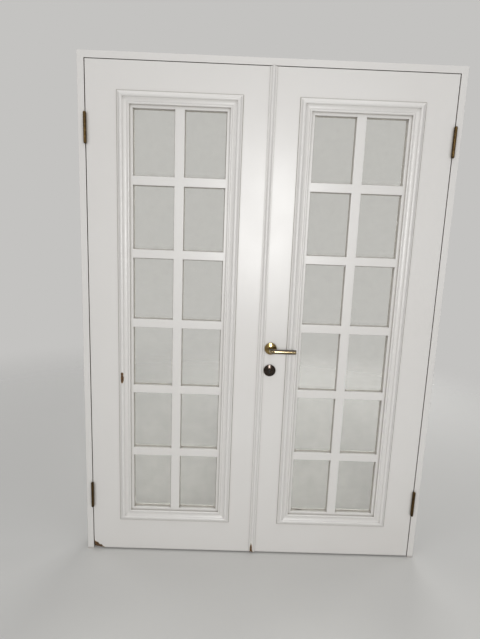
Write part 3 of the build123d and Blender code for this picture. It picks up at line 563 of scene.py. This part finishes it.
def copy_to(pattern, place):
    """A copy of a piece with its own mesh, at the place and turn that a matrix gives."""
    copy = pattern.copy()
    copy.data = pattern.data.copy()
    bpy.context.collection.objects.link(copy)
    copy.matrix_world = place
    return copy


def join(copies, name):
    """Joins copies into one piece, with its place in its mesh."""
    work_on(copies[0])
    for copy in copies:
        copy.select_set(True)
    bpy.ops.object.join()
    piece = bpy.context.object
    put_in_mesh(piece)
    piece.name = name
    return piece


body_of_node = {}
for body, held in frame["record"]["behaviour"]["bodies"].items():
    for node_name in held:
        body_of_node[node_name] = body

# %% [markdown]
# ## Countersunk screws
#
# Countersunk wood screws with a cross recess hold every plate. The CAD model has their outline, which is all
# that the checks need, but no recess. One screw is made here. The sides of its head meet at a right angle, so
# the cone is as high as the head is wider than the shank. The shank and a point are drawn out of the cone's
# lower face by extruding it twice, and the second time it shrinks.

# %% One screw, its head upwards at the origin
SCREW_HEAD, SCREW_SHANK = 3.8 * MM, 1.9 * MM
SCREW_LENGTH, SCREW_POINT = 20.0 * MM, 3.8 * MM
POINT_TAPER = 0.08


def looks_down(face):
    """Whether a face looks straight down."""
    return face.normal.z < -0.9


def make_screw():
    """A countersunk screw without its recess."""
    cone = SCREW_HEAD - SCREW_SHANK
    shank = SCREW_LENGTH - cone - SCREW_POINT
    start_alone()
    bpy.ops.mesh.primitive_cone_add(
        vertices=24, radius1=SCREW_SHANK, radius2=SCREW_HEAD, depth=cone, location=(0, 0, -cone / 2))
    screw = bpy.context.object
    pick_faces(screw, looks_down)
    bpy.ops.mesh.extrude_region_move(TRANSFORM_OT_translate={"value": (0, 0, -shank)})
    bpy.ops.mesh.extrude_region_move(TRANSFORM_OT_translate={"value": (0, 0, -SCREW_POINT)})
    bpy.ops.transform.resize(value=(POINT_TAPER, POINT_TAPER, 1))
    bpy.ops.object.mode_set(mode="OBJECT")
    put_in_mesh(screw)
    return screw


screw_pattern = make_screw()
print("screw faces", len(screw_pattern.data.polygons))

# %% [markdown]
# The recess is cut by two crossed blades that narrow downwards, as the punch of the screw maker does. Two
# boolean modifiers do that exactly, and applying them leaves a plain mesh.

# %% Its cross recess
RECESS_REACH, RECESS_WIDTH, RECESS_DEPTH = 2.3 * MM, 0.9 * MM, 1.7 * MM
RECESS_TAPER = 0.35
SMOOTH_UP_TO = math.radians(30)


def make_blade(angle):
    """A tapered blade through the origin, turned about the upright axis."""
    start_alone()
    bpy.ops.mesh.primitive_cube_add(size=1, location=(0, 0, 0), rotation=(0, 0, angle))
    blade = bpy.context.object
    blade.scale = (2 * RECESS_REACH, RECESS_WIDTH, 2 * RECESS_DEPTH)
    put_in_mesh(blade)
    pick_faces(blade, looks_down)
    bpy.ops.transform.resize(value=(RECESS_TAPER, RECESS_TAPER, 1))
    bpy.ops.object.mode_set(mode="OBJECT")
    return blade


def cut_recess(screw):
    """Cuts a cross into the head of a screw."""
    blades = [make_blade(angle) for angle in (0, math.pi / 2)]
    for blade in blades:
        cut = screw.modifiers.new("recess", "BOOLEAN")
        cut.operation = "DIFFERENCE"
        cut.object = blade
    work_on(screw)
    for modifier in list(screw.modifiers):
        bpy.ops.object.modifier_apply(modifier=modifier.name)
    bpy.ops.object.shade_smooth_by_angle(angle=SMOOTH_UP_TO)
    for blade in blades:
        bpy.data.objects.remove(blade)


cut_recess(screw_pattern)
screw_pattern.data.materials.clear()
screw_pattern.data.materials.append(plated_brass)
print("screw faces with the recess", len(screw_pattern.data.polygons))

# %% [markdown]
# ## Where the screws go
#
# A CAD node holds all the screws of one plate as loose triangles. In a copy of its mesh, the points that lie
# on each other are merged, and walking along the edges takes the screws apart. The longest side of a screw's
# box is its axis, and the point furthest from that axis is on the rim of the head, which tells which way the
# head faces. So the copies agree with the CAD screws wherever these are.


# %% Find the CAD screws
def islands(node):
    """The separate solids of a CAD node, each as a list of points."""
    mesh = bmesh.new()
    mesh.from_mesh(node.data)
    bmesh.ops.remove_doubles(mesh, verts=mesh.verts, dist=1e-6)
    left = set(mesh.verts)
    found = []
    while left:
        edge_of_search = [left.pop()]
        island = []
        while edge_of_search:
            vertex = edge_of_search.pop()
            island.append(vertex.co.copy())
            near = {edge.other_vert(vertex) for edge in vertex.link_edges} & left
            left -= near
            edge_of_search += near
        found.append(island)
    mesh.free()
    return found


def screw_place(points):
    """The middle of a screw's head and the direction that the head faces."""
    low = Vector([min(point[i] for point in points) for i in range(3)])
    high = Vector([max(point[i] for point in points) for i in range(3)])
    middle = (low + high) / 2
    axis = max(range(3), key=lambda i: high[i] - low[i])
    direction = Vector([float(i == axis) for i in range(3)])

    def off_axis(point):
        return ((point - middle) - (point - middle).dot(direction) * direction).length

    rim = max(points, key=off_axis)
    if (rim - middle).dot(direction) < 0:
        direction = -direction
    return middle + direction * (high[axis] - low[axis]) / 2, direction


screw_nodes = [name for name in nodes if name.endswith("screws")]
print("CAD nodes with screws", len(screw_nodes))

# %% [markdown]
# No two screws stop at the same angle, so each copy is turned further than the one before. The screws are
# counted in the order of their places, which is the same in every run. The copies on one plate become one
# piece, which rides on the plate's body and stands for the CAD screws.

# %% Set the screws
SCREW_TURN = 37


def set_screws(node_name):
    """Copies the pattern to each screw of a CAD node and joins the copies into one piece."""
    places = [screw_place(points) for points in islands(nodes[node_name])]
    copies = []
    for number, (place, direction) in enumerate(sorted(places, key=lambda screw: tuple(screw[0]))):
        facing = direction.to_track_quat("Z", "Y").to_matrix().to_4x4()
        turned = Matrix.Rotation(math.radians(SCREW_TURN * number), 4, "Z")
        copies.append(copy_to(screw_pattern, Matrix.Translation(place) @ facing @ turned))
    piece = join(copies, node_name + "_recessed")
    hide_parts(node_name)
    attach(piece, body_of_node[node_name])
    return piece, len(copies)


for name in screw_nodes:
    piece, count = set_screws(name)
    print(piece.name, count, "screws on", body_of_node[name])
bpy.data.objects.remove(screw_pattern)

# %% [markdown]
# ## Sealant round the panes
#
# The pane is bedded between the two grids of bars, and the glazier runs a thin fillet of acrylic sealant
# round each opening, on both sides of the glass. One fillet is made from a plane: an inset gives its foot on
# the glass, the outer edge is extruded along the wooden wall, and a bridge closes the slope between them.

# %% One fillet of sealant, its foot at Y zero and facing -Y
SEALANT = 2.6 * MM


def make_fillet():
    """A ring of triangular section round one pane opening, standing in the XZ plane."""
    start_alone()
    bpy.ops.mesh.primitive_plane_add(size=1, location=(0, 0, 0), rotation=(math.pi / 2, 0, 0))
    ring = bpy.context.object
    ring.scale = (PANE_WIDTH, PANE_HEIGHT, 1)
    put_in_mesh(ring)
    pick_faces(ring, lambda face: True)
    bpy.ops.mesh.inset(thickness=SEALANT, depth=0)
    bpy.ops.mesh.delete(type="FACE")
    bpy.ops.mesh.select_mode(type="EDGE")
    mesh = bmesh.from_edit_mesh(ring.data)
    half = PANE_WIDTH / 2 - SEALANT / 2
    tall = PANE_HEIGHT / 2 - SEALANT / 2
    for edge in mesh.edges:
        outer = all(abs(v.co.x) > half and abs(v.co.z) > tall for v in edge.verts)
        edge.select_set(outer and edge.is_boundary)
    bmesh.update_edit_mesh(ring.data)
    bpy.ops.mesh.extrude_region_move(TRANSFORM_OT_translate={"value": (0, -SEALANT, 0)})
    mesh = bmesh.from_edit_mesh(ring.data)
    for edge in mesh.edges:
        edge.select_set(edge.is_boundary)
    bmesh.update_edit_mesh(ring.data)
    bpy.ops.mesh.bridge_edge_loops()
    bpy.ops.mesh.select_all(action="SELECT")
    bpy.ops.mesh.normals_make_consistent(inside=False)
    bpy.ops.object.mode_set(mode="OBJECT")
    return ring


fillet_pattern = make_fillet()
print("fillet faces", len(fillet_pattern.data.polygons))

# %% [markdown]
# Acrylic sealant dries matt and rubbery. This one is grey, part dust and part painted shade, which gives
# every pane a fine darker line. In the lowest corner of the right leaf, dirt has smeared over it. The smear
# is a flat ball round one point of the fillet, and the material darkens inside it.

# %% Sealant material
# Painted shade and dust: the sealant's greys draw the darker line round every pane.
SEALANT_WHITE = linear("#AFABA3")
SEALANT_DUST_SHADED = linear("#857F76")
SEALANT_PATCH, SEALANT_RELIEF = 30.0, 0.5
SMEAR_DIRT = linear("#483D33")
SMEAR_FROM_CORNER = 34.0 * MM
SMEAR_HALF_LENGTH, SMEAR_HALF_HEIGHT = 20.0 * MM, 5.0 * MM
SMEAR_ENDS, SMEAR_FULL = 1.1, 0.6


def sealant_dust_and_shade():
    """Acrylic sealant: matt, grey with dust and painted shade, dustier in patches, smeared in one corner."""
    material, tree = new_material("acrylic_sealant_dust_and_shade")
    place = add(tree, "ShaderNodeTexCoord").outputs["Object"]
    dust = add(tree, "ShaderNodeTexNoise", Vector=place, Scale=per_metre(SEALANT_PATCH), Detail=4.0)
    tone = add(tree, "ShaderNodeMix", COLOURS, Factor=dust, A=SEALANT_WHITE, B=SEALANT_DUST_SHADED)
    smear_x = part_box("right_front_grid")[0].x + GRID_BORDER + SMEAR_FROM_CORNER
    smear = add(
        tree, "ShaderNodeMapping", {"vector_type": "TEXTURE"}, Vector=place,
        Location=(smear_x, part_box("right_glass")[0].y, lowest_opening),
        Scale=(SMEAR_HALF_LENGTH, SMEAR_HALF_HEIGHT, SMEAR_HALF_HEIGHT))
    away = add(tree, "ShaderNodeVectorMath", {"operation": "LENGTH"}, n0=smear)
    smeared = add(tree, "ShaderNodeMapRange", Value=away, From_Min=SMEAR_ENDS, From_Max=SMEAR_FULL)
    tone = add(tree, "ShaderNodeMix", COLOURS, Factor=smeared, A=tone, B=SMEAR_DIRT)
    bump = add(tree, "ShaderNodeBump", Strength=0.2, Distance=SEALANT_RELIEF * MM, Height=dust)
    surface = add(tree, "ShaderNodeBsdfPrincipled", Base_Color=tone, Roughness=0.6, Normal=bump)
    add(tree, "ShaderNodeOutputMaterial", Surface=surface)
    return material


fillet_pattern.data.materials.append(sealant_dust_and_shade())
print("sealant", fillet_pattern.data.materials[0].name)

# %% [markdown]
# The number of openings follows from the size of the grid. The ring for the back of the glass is the same
# one, turned half round.


# %% Run the sealant round every pane
def seal_leaf(side):
    """Fillets on both faces of a leaf's glass, one ring for each opening, joined into one piece."""
    grid_low, grid_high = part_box(side + "_front_grid")
    glass_low, glass_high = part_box(side + "_glass")
    across, up = PANE_WIDTH + UPRIGHT_BAR, PANE_HEIGHT + CROSS_BAR
    columns = round((grid_high.x - grid_low.x - 2 * GRID_BORDER + UPRIGHT_BAR) / across)
    rows = round((grid_high.z - grid_low.z - 2 * GRID_BORDER + CROSS_BAR) / up)
    copies = []
    for column in range(columns):
        for row in range(rows):
            x = grid_low.x + GRID_BORDER + PANE_WIDTH / 2 + column * across
            z = grid_low.z + GRID_BORDER + PANE_HEIGHT / 2 + row * up
            for y, angle in ((glass_low.y, 0), (glass_high.y, math.pi)):
                place = Matrix.Translation((x, y, z)) @ Matrix.Rotation(angle, 4, "Z")
                copies.append(copy_to(fillet_pattern, place))
    piece = join(copies, side + "_pane_sealant")
    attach(piece, body_of_node[side + "_glass"])
    return piece, columns, rows


for side in ("left", "right"):
    piece, columns, rows = seal_leaf(side)
    print(piece.name, columns, "x", rows, "panes")
bpy.data.objects.remove(fillet_pattern)

# %% [markdown]
# ## Light
#
# A flash beside the lens lit the doors from the front, so the flat faces are the brightest, every slope of
# the mouldings turns a little darker, and polished metal shows one bright line. A tall narrow soft box behind
# the camera does the same. It stands where its mirror image falls on the satin meeting stiles, not in a pane.
# A large lamp overhead and a weak one on the left fill the shadows. A broad box behind the doors and a small
# one at each side keep the back of the leaves as pale as the front. The one behind isn't mirrored in
# anything, because its image would glare on the panes.


# %% Lamps
def soft_box(name, place, target, width, height, watts):
    """A soft rectangular lamp that faces its target and isn't seen itself."""
    start_alone()
    bpy.ops.object.light_add(type="AREA", location=place)
    lamp = bpy.context.object
    lamp.name = name
    lamp.data.shape = "RECTANGLE"
    lamp.data.size = width
    lamp.data.size_y = height
    lamp.data.energy = watts
    lamp.visible_camera = False
    lamp.visible_transmission = False
    aim = Vector(target) - Vector(place)
    lamp.rotation_euler = aim.to_track_quat("-Z", "Y").to_euler()
    return lamp


soft_box("front_box", place=(0.2, -3.3, 1.55), target=(0, 0, 1.05), width=0.55, height=1.2, watts=62)
soft_box("top_box", place=(0, -1.0, 4.6), target=(0, 0, 0.6), width=3.0, height=2.0, watts=38)
soft_box("left_box", place=(-3.2, -2.6, 2.2), target=(0, 0, 1.0), width=1.2, height=1.2, watts=10)
back_box = soft_box(
    "back_box", place=(1.2, 3.9, 1.8), target=(0, 0, 1.1), width=2.4, height=2.0, watts=82)
back_box.visible_glossy = False
for side in (-1, 1):
    soft_box(
        "side_box", place=(3.4 * side, 1.4, 1.9), target=(0.7 * side, 0, 1.0), width=1.2, height=1.2,
        watts=16)
print("lamps", len(bpy.data.lights))

# %% [markdown]
# ## Floor and background
#
# The floor is a plain pale disc that fades into the background a few metres out, so no horizon crosses the
# picture. It keeps the shadow of the doors.

# %% Floor
FLOOR = linear("#CECDCA")
FLOOR_CLEAR, FLOOR_GONE = 1.4, 4.4
FLOOR_RADIUS = FLOOR_GONE + 0.3

start_alone()
bpy.ops.mesh.primitive_circle_add(vertices=96, radius=FLOOR_RADIUS, fill_type="NGON", location=(0, 0, 0))
floor = bpy.context.object
floor.name = "floor"
material, tree = new_material("pale_floor")
place = add(tree, "ShaderNodeTexCoord").outputs["Object"]
reach = add(tree, "ShaderNodeVectorMath", {"operation": "LENGTH"}, n0=place)
fade = add(
    tree, "ShaderNodeMapRange", {"interpolation_type": "SMOOTHSTEP"}, Value=reach, From_Min=FLOOR_CLEAR,
    From_Max=FLOOR_GONE)
matt = add(tree, "ShaderNodeBsdfDiffuse", Color=FLOOR)
nothing = add(tree, "ShaderNodeBsdfTransparent")
surface = add(tree, "ShaderNodeMixShader", Fac=fade, n1=matt, n2=nothing)
add(tree, "ShaderNodeOutputMaterial", Surface=surface)
floor.data.materials.append(material)
print("floor fades out at", FLOOR_GONE, "m")

# %% [markdown]
# The world shows a pale grey to the camera and to what the glass and the metal mirror. Rays that light the
# doors meet a weaker, nearly white one, which softens the shadows.

# %% World
BACKGROUND = linear("#C4C3C1")
SKYLIGHT, SKYLIGHT_STRENGTH = linear("#F2F3F5"), 0.26

world = bpy.data.worlds.new("studio")
bpy.context.scene.world = world
world.use_nodes = True
tree = world.node_tree
tree.nodes.clear()
rays = add(tree, "ShaderNodeLightPath").outputs
seen = rays["Is Camera Ray"]
for kind in ("Is Transmission Ray", "Is Glossy Ray"):
    seen = add(tree, "ShaderNodeMath", {"operation": "MAXIMUM"}, n0=seen, n1=rays[kind])
skylight = add(tree, "ShaderNodeBackground", Color=SKYLIGHT, Strength=SKYLIGHT_STRENGTH)
shown = add(tree, "ShaderNodeBackground", Color=BACKGROUND, Strength=1.0)
surface = add(tree, "ShaderNodeMixShader", Fac=seen, n1=skylight, n2=shown)
add(tree, "ShaderNodeOutputWorld", Surface=surface)

bpy.context.scene.view_settings.view_transform = "Standard"
print("world nodes", len(tree.nodes))
